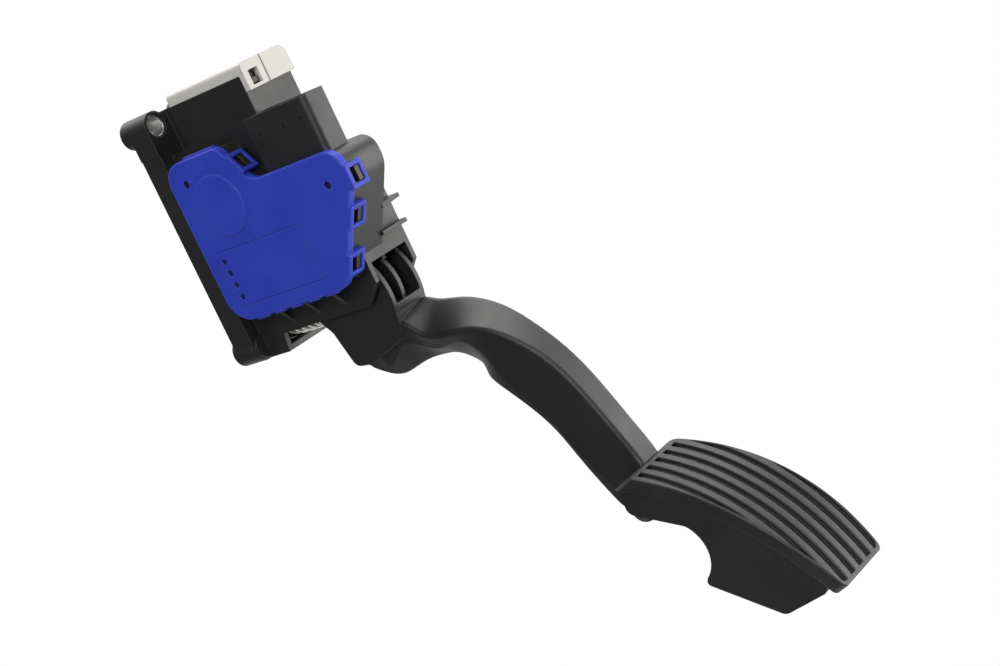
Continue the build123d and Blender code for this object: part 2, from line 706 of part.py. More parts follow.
PAD_DIR = (cos(radians(PAD_PITCH_DEG)), 0, sin(radians(PAD_PITCH_DEG)))
PAD_NORMAL = (-PAD_DIR[2], 0, PAD_DIR[0])
PAD_MIDDLE = (PAD_TOP_X + PAD_DIR[0] * PAD_LENGTH / 2, 0, PAD_TOP_Z + PAD_DIR[2] * PAD_LENGTH / 2)
PAD_PLANE = Plane(origin=PAD_MIDDLE, x_dir=PAD_DIR, z_dir=PAD_NORMAL)
PAD_RADIUS = (PAD_LENGTH**2 / 4 + PAD_BOW**2) / (2 * PAD_BOW)


def pad_side(inset, width):
    """A slab along Y whose top follows the bowed tread, inset below it."""
    centre = PAD_PLANE.from_local_coords((0, 0, PAD_BOW - PAD_RADIUS))
    return rod_y(PAD_RADIUS - inset, centre.X, centre.Z, -width / 2, width / 2)


def pad_plan(side=0.0, ends=0.0):
    """The barrel-shaped outline of the tread, seen square on, carried along the draw of its mould."""
    end = PAD_LENGTH / 2 - ends
    top = PAD_TOP_WIDTH / 2 - side
    middle = PAD_MID_WIDTH / 2 - side
    toe = PAD_TOE_WIDTH / 2 - side
    near = ThreePointArc((-end, -top), (0, -middle), (end, -toe))
    far = ThreePointArc((end, toe), (0, middle), (-end, top))
    outline = make_face(Curve() + [near, Line(near @ 1, far @ 0), far, Line(far @ 1, near @ 0)])
    outline = fillet(outline.vertices(), PAD_CORNER)
    draw = Vector(*PAD_NORMAL) + Vector(*PAD_DIR) * tan(radians(PAD_DRAW_DEG))
    return extrude(PAD_PLANE * outline, amount=PAD_LENGTH / 2, dir=draw, both=True)


def pad_blank():
    """The tread before its grooves are cut."""
    return pad_plan() & (pad_side(0, PAD_LENGTH) - pad_side(PAD_THICK, PAD_LENGTH))


def foot_pad():
    """The tread: bowed, barrel-shaped and cut with slanting grooves."""
    skin = pad_side(-2, PAD_LENGTH) - pad_side(GROOVE_DEPTH, PAD_LENGTH)
    slots = []
    for i in range(GROOVES):
        y = (i - (GROOVES - 1) / 2) * GROOVE_PITCH
        slot = Rot(0, 0, -GROOVE_SKEW_DEG) * Pos(0, y) * Rectangle(PAD_LENGTH * 1.2, GROOVE_WIDTH)
        slots.append(extrude(PAD_PLANE * slot, amount=PAD_LENGTH / 4, both=True))
    return pad_blank() - ((slots[0] + slots[1:]) & pad_plan(GROOVE_SIDE_MARGIN, GROOVE_END_MARGIN) & skin)


def arm_foot():
    """The broad foot behind the tread, with a round notch above its lower boss."""
    heel = -PAD_LENGTH / 2
    toe = PAD_LENGTH / 2
    back = FilletPolyline(
        (heel + 3.0, 4.0),
        (heel - 4.5, -9.5),
        (heel + 2.5, -18.8),
        (heel + 27.0, -10.8),
        radius=[3.0, 4.0],
    )
    notch = ThreePointArc(back @ 1, (heel + 37.7, -15.1), (heel + 41.6, -28.8))
    boss = FilletPolyline(
        notch @ 1,
        (heel + 42.0, -31.8),
        (toe - 19.6, -26.6),
        (toe - 7.4, -8.4),
        (toe - 6.0, 4.0),
        radius=[1.8, 5.0, 1.0],
    )
    outline = make_face(Curve() + [back, notch, boss, Line(boss @ 1, back @ 0)])
    side = Plane(origin=PAD_PLANE.origin, x_dir=PAD_DIR, z_dir=(0, -1, 0))
    foot = extrude(side * outline, amount=FOOT_WIDTH / 2, both=True)
    return foot & pad_side(PAD_THICK, PAD_LENGTH)


def pedal_arm():
    """Hub, arm and foot in one moulding."""
    part = arm_hub() + arm_blade() + arm_foot()
    part -= hub_pockets()
    part -= pad_blank()
    part -= rod_y(PIN_DIAMETER / 2, PIVOT_X, PIVOT_Z, -HUB_WIDTH, HUB_WIDTH)
    return part


# Springs and friction


def coil(diameter, wire, start, end, turns, direction):
    """A round-wire coil between two points on its axis."""
    length = (Vector(*end) - Vector(*start)).length - wire
    radius = (diameter - wire) / 2
    base = Vector(*start) + Vector(*direction) * (wire / 2)
    path = Helix(pitch=length / turns, height=length, radius=radius, center=base, direction=direction)
    return sweep(Plane(origin=path @ 0, z_dir=path % 0) * Circle(wire / 2), path=path, is_frenet=True)


def return_spring(diameter, wire, turns):
    start = (RETURN_REAR_X, 0, RETURN_AXIS_Z)
    end = (RETURN_FRONT_X, 0, RETURN_AXIS_Z)
    return coil(diameter, wire, start, end, turns, (1, 0, 0))


def spring_seat_rear():
    """The cup on the flange that the return springs stand on."""
    disc = rod_x(OUTER_COIL / 2 + 0.6, 0, RETURN_AXIS_Z, FLANGE_FRONT + WALL, RETURN_REAR_X)
    return disc + rod_x(SEAT_PEG / 2, 0, RETURN_AXIS_Z, RETURN_REAR_X, RETURN_REAR_X + 3)


def spring_seat_front():
    """The cup on the arm that the return springs push."""
    face = RETURN_FRONT_X + SEAT_THICK
    disc = rod_x(OUTER_COIL / 2, 0, RETURN_AXIS_Z, RETURN_FRONT_X, face)
    return disc + rod_x(SEAT_PEG / 2, 0, RETURN_AXIS_Z, RETURN_FRONT_X - 3, RETURN_FRONT_X)


SHOE_TOP = PIVOT_Z + HUB_RADIUS + SHOE_THICK


def friction_shoe():
    """The shoe that rubs on the hub's drum."""
    reach = INNER_Y - CAP_GAP
    shoe = block(CHEST_LEFT + 0.6, PIVOT_X + SHOE_REACH, -reach, reach, PIVOT_Z + HUB_RADIUS - 4, SHOE_TOP)
    shoe -= rod_y(HUB_RADIUS + SHOE_GAP, PIVOT_X, PIVOT_Z, -CHEEK_Y, CHEEK_Y)
    peg = Circle(FRICTION_COIL / 2 - FRICTION_WIRE - 0.3)
    return shoe + Pos(PIVOT_X, 0, 0) * prism_z(peg, SHOE_TOP, SHOE_TOP + 3)


def friction_spring():
    top = BLOCK_TOP + CAP_RISE - CAP_WALL
    return coil(FRICTION_COIL, FRICTION_WIRE, (PIVOT_X, 0, SHOE_TOP), (PIVOT_X, 0, top), 5, (0, 0, 1))


def idle_buffer():
    """The rubber strip inside the front wall that the released arm rests against."""
    low = STOP_Z - BUFFER_HEIGHT / 2
    face = FRONT_X - WALL
    return block(face - BUFFER_THICK, face, -INNER_Y + 2, INNER_Y - 2, low, low + BUFFER_HEIGHT)


# Electronics


def magnet_rotor():
    """The magnet carrier on the pin's end."""
    part = rod_y(ROTOR_HUB, PIVOT_X, PIVOT_Z, ROTOR_FRONT_Y, ROTOR_BACK_Y)
    part += rod_y(ROTOR_RADIUS, PIVOT_X, PIVOT_Z, ROTOR_BACK_Y - 1.5, ROTOR_BACK_Y)
    return part - rod_y(PIN_DIAMETER / 2, PIVOT_X, PIVOT_Z, ROTOR_FRONT_Y + 1, ROTOR_BACK_Y)


def ring_magnet():
    ring = Circle(MAGNET_RADIUS) - Circle(ROTOR_HUB)
    return prism_y(Pos(PIVOT_X, PIVOT_Z) * ring, ROTOR_FRONT_Y + 0.8, ROTOR_BACK_Y - 1.5)


def circuit_board():
    """The sensor board, cut round the rotor and staked on the posts."""
    outline = cover_outline(CHAMBER_INSET + 0.8) & right_of(PIVOT_X + ROTOR_RADIUS + 1.0)
    outline -= Pos(PIVOT_X, PIVOT_Z) * Circle(ROTOR_RADIUS + 1.0)
    outline -= right_of(COVER_RIGHT - 7.0)
    for x, z in BOARD_PEGS:
        outline -= Pos(x, z) * Circle(1.6)
    for x, z in LOCATORS:
        outline -= Pos(x, z) * Circle(2.2)
    return prism_y(outline, BOARD_FACE_Y - BOARD_THICK, BOARD_FACE_Y)


def hall_sensors():
    front = BOARD_FACE_Y - BOARD_THICK
    left = PIVOT_X + ROTOR_RADIUS + 3.6
    tops = (PIVOT_Z, PIVOT_Z - 7.0)
    chips = [block(left, left + CHIP, front - CHIP_THICK, front, z - CHIP, z) for z in tops]
    return Compound([chip.solid() for chip in chips])


def contact_pins():
    """Six straight contacts from the board up into the connector."""
    pins = []
    for x in CONTACT_X:
        half = CONTACT / 2
        pin = block(x - half, x + half, BOARD_FACE_Y, BOARD_FACE_Y + CONTACT, CONTACT_FOOT, CONTACT_TOP)
        pins.append(pin.solid())
    return Compound(pins)


def main():
    os.makedirs("parts", exist_ok=True)
    save("housing", housing())
    save("mounting_sleeves", sleeves())
    save("sensor_cover", sensor_cover())
    save("cover_seal", cover_seal())
    save("top_cap", top_cap())
    save("pivot_bush_near", pivot_bush(-1))
    save("pivot_bush_far", pivot_bush(1))
    save("pivot_pin", pivot_pin())
    save("pin_clip", pin_clip())
    save("pedal_arm", pedal_arm())
    save("foot_pad", foot_pad())
    save("return_spring_outer", return_spring(OUTER_COIL, OUTER_WIRE, 5))
    save("return_spring_inner", return_spring(INNER_COIL, INNER_WIRE, 6))
    save("spring_seat_rear", spring_seat_rear())
    save("spring_seat_front", spring_seat_front())
    save("friction_shoe", friction_shoe())
    save("friction_spring", friction_spring())
    save("idle_buffer", idle_buffer())
    save("magnet_rotor", magnet_rotor())
    save("ring_magnet", ring_magnet())
    save("circuit_board", circuit_board())
    save("hall_sensors", hall_sensors())
    save("contact_pins", contact_pins())


main()
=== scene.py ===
# %% [markdown]
# A hanging accelerator pedal
# The imported solids are the frame of this lesson: they hold every size and place, in metres.
# Blender adds the finish: grain, soft edges and light, a tread with rounded edges, lips on the sleeves,
# and wound springs.

# %% Load the frame
import json
from math import cos, pi, radians, sin, sqrt, tan

import bpy
from mathutils import Matrix, Vector


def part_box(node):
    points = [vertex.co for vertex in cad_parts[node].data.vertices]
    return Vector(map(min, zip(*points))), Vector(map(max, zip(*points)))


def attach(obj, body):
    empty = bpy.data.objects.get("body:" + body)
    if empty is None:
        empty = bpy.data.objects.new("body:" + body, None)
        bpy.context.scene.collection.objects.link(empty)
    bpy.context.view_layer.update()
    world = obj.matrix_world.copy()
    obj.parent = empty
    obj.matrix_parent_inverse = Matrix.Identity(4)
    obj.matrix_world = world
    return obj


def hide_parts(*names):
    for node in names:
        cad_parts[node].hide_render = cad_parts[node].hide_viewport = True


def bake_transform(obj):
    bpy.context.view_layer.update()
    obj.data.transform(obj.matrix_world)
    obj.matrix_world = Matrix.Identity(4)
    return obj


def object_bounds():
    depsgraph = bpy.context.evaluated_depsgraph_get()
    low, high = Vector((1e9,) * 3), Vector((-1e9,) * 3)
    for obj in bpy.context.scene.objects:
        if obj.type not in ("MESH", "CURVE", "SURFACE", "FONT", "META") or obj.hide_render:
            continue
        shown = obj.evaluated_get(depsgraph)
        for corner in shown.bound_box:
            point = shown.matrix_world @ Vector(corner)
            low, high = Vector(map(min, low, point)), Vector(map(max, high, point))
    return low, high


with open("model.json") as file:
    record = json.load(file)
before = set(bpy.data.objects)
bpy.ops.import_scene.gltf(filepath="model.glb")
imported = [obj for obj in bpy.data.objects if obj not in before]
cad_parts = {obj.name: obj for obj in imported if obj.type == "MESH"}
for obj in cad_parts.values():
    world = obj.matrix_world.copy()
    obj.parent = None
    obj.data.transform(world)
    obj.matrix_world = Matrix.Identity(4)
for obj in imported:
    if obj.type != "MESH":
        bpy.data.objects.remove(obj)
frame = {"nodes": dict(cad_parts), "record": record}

MM = 0.001
scene = bpy.context.scene
nodes = frame["nodes"]
cad_low, cad_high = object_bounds()
slot_of = {row["node"]: row["material_slot"] for row in frame["record"]["subparts"]}
bpy.ops.object.select_all(action="DESELECT")
print(len(nodes), "solids, box in mm:", [round(v / MM, 1) for v in cad_high - cad_low])

# %% [markdown]
# The camera
# The pedal is seen from the driver's left, a little from above, and the camera leans to one side.
# It could be aimed with a constraint, but the lean would then need a second turn.
# Writing its three axes as one matrix keeps the lean and the aim together.

# %% Place the camera
CAMERA_PLACE = Vector((0.6948, -0.6360, 0.0699))
CAMERA_RIGHT = Vector((0.7251, 0.5482, -0.4168))
CAMERA_UP = Vector((0.2112, 0.3990, 0.8923))
NEAREST_SEEN = 0.01
FARTHEST_SEEN = 50.0
FOCAL_PIXELS = 2128.18
IMAGE_WIDTH = 1000
SENSOR_MM = 36.0

bpy.ops.object.camera_add(location=CAMERA_PLACE)
camera = bpy.context.object
camera.name = "photo_camera"
back = CAMERA_RIGHT.cross(CAMERA_UP).normalized()
right = CAMERA_UP.cross(back).normalized()
up = back.cross(right)
turn = Matrix((right, up, back)).transposed().to_4x4()
camera.matrix_world = Matrix.Translation(CAMERA_PLACE) @ turn
camera.data.sensor_width = SENSOR_MM
camera.data.sensor_fit = "HORIZONTAL"
camera.data.lens = SENSOR_MM * FOCAL_PIXELS / IMAGE_WIDTH
camera.data.clip_start = NEAREST_SEEN
camera.data.clip_end = FARTHEST_SEEN
scene.camera = camera
print("lens", round(camera.data.lens, 1), "mm")

# %% [markdown]
# Node helpers
# Every material, group and world here is a tree of nodes, whose sockets are linked or set to a value.
# That could be written out socket by socket, but the wiring would then hide what a finish is made of.
# A few helpers take a socket or a plain value in the same place, so that each node is one line.

# %% Nodes and their sockets
def connect(tree, socket, value):
    """Feed an input from another node's output, or set it to a plain value."""
    if isinstance(value, bpy.types.NodeSocket):
        tree.links.new(value, socket)
    else:
        socket.default_value = value


def feed(tree, node, **inputs):
    """Feed some of a node's inputs by name, written with _ for a space."""
    for name, value in inputs.items():
        connect(tree, node.inputs[name.replace("_", " ")], value)


def add_node(tree, kind, **inputs):
    """A new node with some of its inputs fed."""
    node = tree.nodes.new(kind)
    feed(tree, node, **inputs)
    return node


def new_material(name):
    """A material with an empty node tree, its tree and its output node."""
    material = bpy.data.materials.new(name)
    material.use_nodes = True
    tree = material.node_tree
    tree.nodes.clear()
    output = tree.nodes.new("ShaderNodeOutputMaterial")
    return material, tree, output


print("helpers: connect, feed, add_node, new_material")


# %% Sums in a node tree
def add_math(tree, operation, *values, kind="ShaderNodeMath"):
    """The result of a math node on sockets or numbers."""
    node = tree.nodes.new(kind)
    node.operation = operation
    for socket, value in zip(node.inputs, values):
        connect(tree, socket, value)
    return next(result for result in node.outputs if result.enabled)


def add_vector_math(tree, operation, *values):
    """The result of a vector math node on sockets or plain vectors."""
    return add_math(tree, operation, *values, kind="ShaderNodeVectorMath")


def map_range(tree, value, before, after):
    """A value moved from the range before to the range after."""
    node = add_node(
        tree, "ShaderNodeMapRange",
        Value=value, From_Min=before[0], From_Max=before[1], To_Min=after[0], To_Max=after[1],
    )
    return node.outputs["Result"]


print("helpers: add_math, add_vector_math, map_range")

# %% [markdown]
# Studio
# A catalogue picture has a white sweep behind the object and large soft lamps.
# Black plastic has hardly any colour of its own: faces that mirror the sweep look grey, the others stay dark.
# The sweep could be a bent sheet, but a sheet would stand in the way of the views from behind.
# So the world is white behind the object, for reflections too, and dim on the camera's side.
# The camera itself sees white wherever it looks.
# The floor is a pale sheet that keeps the shadow, throws light back up and fades out around the pedal.

# %% Floor
FLOOR_DROP = 0.30
FLOOR_SIZE = 1.2
FLOOR_COLOUR = (0.86, 0.86, 0.86, 1)
FLOOR_FADE = (0.20, 0.55)

pedal_middle = (cad_low + cad_high) / 2
floor_place = (pedal_middle.x, pedal_middle.y, cad_low.z - FLOOR_DROP)
bpy.ops.mesh.primitive_plane_add(size=FLOOR_SIZE, location=floor_place)
floor = bpy.context.object
floor.name = "floor"
floor_material, tree, output = new_material("pale_floor")
place = tree.nodes.new("ShaderNodeTexCoord").outputs["Object"]
away = add_vector_math(tree, "LENGTH", place)
fade = map_range(tree, away, FLOOR_FADE, (0.0, 1.0))
pale = add_node(tree, "ShaderNodeBsdfDiffuse", Color=FLOOR_COLOUR)
nothing = tree.nodes.new("ShaderNodeBsdfTransparent")
mix = tree.nodes.new("ShaderNodeMixShader")
for socket, value in zip(mix.inputs, (fade, pale.outputs[0], nothing.outputs[0])):
    tree.links.new(value, socket)
feed(tree, output, Surface=mix.outputs[0])
floor.data.materials.append(floor_material)
print("floor at", round(floor.location.z, 3))

# %% World
SWEEP_SIDE = Vector((-0.20, 0.93, 0.30))
SWEEP_EDGE = (-0.20, 0.40)
SWEEP_LIGHT = 0.55
ROOM_LIGHT = 0.11
WHITE = (1.0, 1.0, 1.0)

scene.view_settings.view_transform = "Standard"
world = bpy.data.worlds.new("studio")
scene.world = world
world.use_nodes = True
tree = world.node_tree
tree.nodes.clear()
looking = tree.nodes.new("ShaderNodeTexCoord").outputs["Generated"]
facing = add_vector_math(tree, "DOT_PRODUCT", looking, SWEEP_SIDE.normalized())
sweep = map_range(tree, facing, SWEEP_EDGE, (ROOM_LIGHT, SWEEP_LIGHT))
behind = map_range(tree, facing, SWEEP_EDGE, (0.0, 1.0))
path = tree.nodes.new("ShaderNodeLightPath").outputs
mirrored = add_math(tree, "MULTIPLY", path["Is Glossy Ray"], behind)
seen = add_math(tree, "MAXIMUM", path["Is Camera Ray"], path["Is Transmission Ray"])
seen = add_math(tree, "MAXIMUM", seen, mirrored)
strength = add_math(tree, "MAXIMUM", seen, sweep)
backdrop = add_node(tree, "ShaderNodeBackground", Color=(*WHITE, 1), Strength=strength)
add_node(tree, "ShaderNodeOutputWorld", Surface=backdrop.outputs[0])
print("world", world.name, "with", len(tree.nodes), "nodes")

# %% Soft boxes
WARM_WHITE = (1.0, 0.975, 0.945)


def soft_box(name, direction, distance, width, depth, power, colour):
    """A rectangular lamp that looks at the middle of the pedal."""
    towards = Vector(direction).normalized()
    bpy.ops.object.light_add(type="AREA", location=pedal_middle + towards * distance)
    lamp = bpy.context.object
    lamp.name = name
    lamp.rotation_mode = "QUATERNION"
    lamp.rotation_quaternion = towards.to_track_quat("Z", "Y")
    lamp.data.shape = "RECTANGLE"
    lamp.data.size = width
    lamp.data.size_y = depth
    lamp.data.energy = power
    lamp.data.color = colour


soft_box("key_overhead", (-0.25, 0.35, 0.90), distance=1.2, width=1.7, depth=1.0, power=12, colour=WARM_WHITE)
soft_box("rim_behind", (0.68, 0.72, -0.10), distance=1.4, width=1.3, depth=1.2, power=13, colour=WARM_WHITE)
soft_box("fill_sensor_side", (0.55, -1.0, 0.45), distance=1.8, width=1.0, depth=1.0, power=16, colour=WHITE)

# %% [markdown]
# Effects that the finishes share
# Moulded plastic never has a knife edge, so light runs along every corner of it.
# A bevel modifier could round the corners, but the solids are loose triangles and stay untouched.
# The Bevel node rounds the shading instead, and how far it turns the normal shows where an edge is.
# A second group makes the spark-eroded grain of a mould, and slow changes of shade over a moulding.

# %% Node group: soft edges
EDGE_ROUND = 0.5 * MM
CORNER_REACH = 4 * MM
EDGE_SAMPLES = 6
EDGE_GAIN = 5.0


def new_group(name, inputs, outputs):
    """A shader node group, the sockets that bring its inputs and the node that takes its results."""
    group = bpy.data.node_groups.new(name, "ShaderNodeTree")
    for label, value in inputs.items():
        socket = group.interface.new_socket(name=label, in_out="INPUT", socket_type="NodeSocketFloat")
        socket.default_value = value
    for label, kind in outputs.items():
        group.interface.new_socket(name=label, in_out="OUTPUT", socket_type=kind)
    start = group.nodes.new("NodeGroupInput")
    end = group.nodes.new("NodeGroupOutput")
    return group, start.outputs, end


# Edge marks where the normal turns and feeds a painted highlight; Open is ambient occlusion and feeds a
# painted shade in corners.
soft_edges, given, group_end = new_group(
    "soft_edges",
    inputs={"Radius": EDGE_ROUND, "Reach": CORNER_REACH},
    outputs={"Normal": "NodeSocketVector", "Edge": "NodeSocketFloat", "Open": "NodeSocketFloat"},
)
bevel = add_node(soft_edges, "ShaderNodeBevel", Radius=given["Radius"])
bevel.samples = EDGE_SAMPLES
shade = add_node(soft_edges, "ShaderNodeAmbientOcclusion", Distance=given["Reach"])
shade.samples = EDGE_SAMPLES
geometry = soft_edges.nodes.new("ShaderNodeNewGeometry")
turned = add_vector_math(soft_edges, "DOT_PRODUCT", bevel.outputs[0], geometry.outputs["Normal"])
bend = add_math(soft_edges, "SUBTRACT", 1.0, turned)
sharp = add_math(soft_edges, "MULTIPLY", bend, EDGE_GAIN)
clear = add_math(soft_edges, "MULTIPLY", sharp, shade.outputs["AO"])
edge = add_math(soft_edges, "MINIMUM", clear, 1.0)
feed(soft_edges, group_end, Normal=bevel.outputs[0], Edge=edge, Open=shade.outputs["AO"])
print("group", soft_edges.name, "with", len(soft_edges.nodes), "nodes")

# %% Node group: moulded grain
GRAIN_SCALE = 2600.0
CLOUD_SCALE = 45.0
PIT_SCALE_SHARE = 0.5
PIT_HEIGHT = 0.5
FLECK_SCALE = 1900.0
FLECK_LEVEL = 0.66
FLECK_GAIN = 6.0

moulded_grain, given, group_end = new_group(
    "moulded_grain",
    inputs={"Grain": GRAIN_SCALE, "Clouds": CLOUD_SCALE},
    outputs={"Height": "NodeSocketFloat", "Cloud": "NodeSocketFloat", "Fleck": "NodeSocketFloat"},
)
place = moulded_grain.nodes.new("ShaderNodeTexCoord").outputs["Object"]
pit_scale = add_math(moulded_grain, "MULTIPLY", given["Grain"], PIT_SCALE_SHARE)
pits = add_node(moulded_grain, "ShaderNodeTexVoronoi", Vector=place, Scale=pit_scale)
fine, slow, specks = (
    add_node(moulded_grain, "ShaderNodeTexNoise", Vector=place, **noise).outputs["Fac"]
    for noise in (
        dict(Scale=given["Grain"], Detail=3.0, Roughness=0.6),
        dict(Scale=given["Clouds"], Detail=4.0, Roughness=0.55),
        dict(Scale=FLECK_SCALE, Detail=1.0),
    )
)
pitted = add_math(moulded_grain, "MULTIPLY", pits.outputs["Distance"], PIT_HEIGHT)
height = add_math(moulded_grain, "ADD", fine, pitted)
rare = add_math(moulded_grain, "SUBTRACT", specks, FLECK_LEVEL)
raised = add_math(moulded_grain, "MULTIPLY", rare, FLECK_GAIN)
fleck = add_math(moulded_grain, "MAXIMUM", raised, 0.0)
feed(moulded_grain, group_end, Height=height, Cloud=slow, Fleck=fleck)
print("group", moulded_grain.name, "with", len(moulded_grain.nodes), "nodes")

# %% [markdown]
# Dimples in the cover
# Four small dimples stand in a row on the cover. In its solid they are half a millimetre deep.
# They could be cut deeper to look dark, but the solid stays as it is.
# A third group paints shade into the colour around each centre, and only the cover's finish uses it.

# %% Node group: dimple shade
FIRST_DIMPLE = Vector((27.20, 0, -10.90)) * MM
NEXT_DIMPLE = Vector((0.3, 0, -5.5)) * MM
DIMPLES = 4
DIMPLE_EDGE = (1.2 * MM, 1.5 * MM)
WITHOUT_DEPTH = (1, 0, 1)

dimple_shade, given, group_end = new_group(
    "dimple_shade", inputs={"Depth": 1.0}, outputs={"Shade": "NodeSocketFloat"}
)
place = dimple_shade.nodes.new("ShaderNodeTexCoord").outputs["Object"]
flat_place = add_vector_math(dimple_shade, "MULTIPLY", place, WITHOUT_DEPTH)
inside = 0.0
for i in range(DIMPLES):
    away = add_vector_math(dimple_shade, "DISTANCE", flat_place, FIRST_DIMPLE + NEXT_DIMPLE * i)
    near = map_range(dimple_shade, away, DIMPLE_EDGE, (1.0, 0.0))
    inside = add_math(dimple_shade, "MAXIMUM", near, inside)
feed(dimple_shade, group_end, Shade=add_math(dimple_shade, "MULTIPLY", inside, given["Depth"]))
print("group", dimple_shade.name, "with", len(dimple_shade.nodes), "nodes")

# %% [markdown]
# Moulded plastics
# The housing and arm are dark glass-filled nylon, the cover is blue, the cap off-white and the tread satin.
# Each could have a tree of its own, but they differ only in colour, gloss and grain.
# So one function makes them all.
# Edges are a little paler than faces, a painted highlight, and deep corners a little darker, a painted shade;
# both come from the shared groups.

# %% Mixing colours
CLOUD_RANGE = (0.3, 0.7)
FLECK_SHARE = 0.25
# Painted shade in corners: the occlusion range and the share of brightness left there.
CORNER_RANGE = (0.15, 0.75)
CORNER_SHADE_SHARE = 0.45
DIMPLE_SHARE = 0.15


def group_node(tree, group, **inputs):
    """The outputs of a group placed in a tree, with some of its inputs fed."""
    node = tree.nodes.new("ShaderNodeGroup")
    node.node_tree = group
    feed(tree, node, **inputs)
    return node.outputs


def mix_colour(tree, share, first, second):
    """A mix of two colours, each a socket or a plain colour."""
    node = add_node(tree, "ShaderNodeMix", Factor=share)
    node.data_type = "RGBA"
    for label, colour in (("A", first), ("B", second)):
        socket = next(s for s in node.inputs if s.name == label and s.type == "RGBA")
        connect(tree, socket, (*colour, 1) if isinstance(colour, tuple) else colour)
    return next(s for s in node.outputs if s.type == "RGBA")


def darker(colour, share):
    """A colour with only a share of its brightness."""
    return tuple(share * part for part in colour)


def surface_colour(tree, edges, skin, dark, light, edge, edge_highlight, dimples):
    """Two shades in slow clouds, pale flecks, a painted highlight on edges, painted shade in corners and
    dimples.
    """
    clouds = map_range(tree, skin["Cloud"], CLOUD_RANGE, (0.0, 1.0))
    colour = mix_colour(tree, clouds, dark, light)
    flecks = add_math(tree, "MULTIPLY", skin["Fleck"], FLECK_SHARE)
    colour = mix_colour(tree, flecks, colour, edge)
    # Painted highlight: edges are mixed towards the pale edge colour.
    highlight_share = add_math(tree, "MULTIPLY", edges["Edge"], edge_highlight)
    colour = mix_colour(tree, highlight_share, colour, edge)
    # Painted shade: where ambient occlusion is low, in deep corners, the colour is mixed towards a darker
    # one.
    clear = map_range(tree, edges["Open"], CORNER_RANGE, (0.0, 1.0))
    colour = mix_colour(tree, clear, darker(dark, CORNER_SHADE_SHARE), colour)
    # Painted shade in the dimples of the cover.
    if dimples:
        pits = group_node(tree, dimple_shade, Depth=dimples)
        colour = mix_colour(tree, pits["Shade"], colour, darker(dark, DIMPLE_SHARE))
    return colour


print("helpers: group_node, mix_colour, darker, surface_colour")

# %% How a finish is made
GLOSS_SPREAD = (-0.05, 0.06)
GRAIN_DEPTH = 0.1 * MM


def new_finish(
    name, dark, light, edge, rough, specular, grain, bump,
    radius=EDGE_ROUND, edge_highlight=0.5, metallic=0.0, dimples=0.0,
):
    """A material with clouds, grain, a painted highlight on edges and painted shade in corners."""
    material, tree, output = new_material(name)
    edges = group_node(tree, soft_edges, Radius=radius)
    skin = group_node(tree, moulded_grain, Grain=grain)
    relief = add_node(
        tree, "ShaderNodeBump",
        Strength=bump, Distance=GRAIN_DEPTH, Height=skin["Height"], Normal=edges["Normal"],
    )
    gloss = [rough + spread for spread in GLOSS_SPREAD]
    shader = add_node(
        tree, "ShaderNodeBsdfPrincipled",
        Base_Color=surface_colour(tree, edges, skin, dark, light, edge, edge_highlight, dimples),
        Roughness=map_range(tree, skin["Cloud"], CLOUD_RANGE, gloss),
        Specular_IOR_Level=specular, Metallic=metallic, Normal=relief.outputs[0],
    )
    feed(tree, output, Surface=shader.outputs[0])
    return material


print("a finish has a grain", GRAIN_DEPTH / MM, "mm deep")

# %% Plastic finishes
# The edge colour of each finish is the colour of its pale flecks and of the painted highlight on its edges.
PLASTICS = {
    "black_nylon": dict(
        dark=(0.011, 0.011, 0.012), light=(0.016, 0.016, 0.016), edge=(0.055, 0.054, 0.052),
        rough=0.48, specular=0.75, grain=2600, bump=0.20,
    ),
    "tread_plastic": dict(
        dark=(0.011, 0.011, 0.011), light=(0.015, 0.015, 0.015), edge=(0.050, 0.049, 0.047),
        rough=0.48, specular=0.75, grain=2600, bump=0.08, radius=0.8 * MM,
    ),
    "blue_plastic": dict(
        dark=(0.036, 0.066, 0.620), light=(0.044, 0.078, 0.680), edge=(0.13, 0.17, 0.95),
        rough=0.42, specular=0.30, grain=3200, bump=0.12, radius=1.0 * MM, edge_highlight=0.7, dimples=0.85,
    ),
    "pale_plastic": dict(
        dark=(0.78, 0.76, 0.71), light=(0.83, 0.81, 0.76), edge=(0.90, 0.89, 0.86),
        rough=0.42, specular=0.40, grain=3000, bump=0.10, radius=0.6 * MM,
    ),
    "bearing_plastic": dict(
        dark=(0.70, 0.68, 0.60), light=(0.76, 0.74, 0.67), edge=(0.84, 0.83, 0.78),
        rough=0.38, specular=0.50, grain=3000, bump=0.08,
    ),
    "seal_rubber": dict(
        dark=(0.020, 0.020, 0.020), light=(0.028, 0.028, 0.028), edge=(0.05, 0.05, 0.05),
        rough=0.72, specular=0.30, grain=2200, bump=0.35,
    ),
    "chip": dict(
        dark=(0.022, 0.022, 0.024), light=(0.030, 0.030, 0.031), edge=(0.07, 0.07, 0.07),
        rough=0.55, specular=0.40, grain=4200, bump=0.20,
    ),
    "board": dict(
        dark=(0.020, 0.145, 0.055), light=(0.030, 0.190, 0.075), edge=(0.25, 0.34, 0.16),
        rough=0.32, specular=0.50, grain=3800, bump=0.06,
    ),
}

finishes = {name: new_finish(name, **look) for name, look in PLASTICS.items()}
print("plastics:", sorted(finishes))
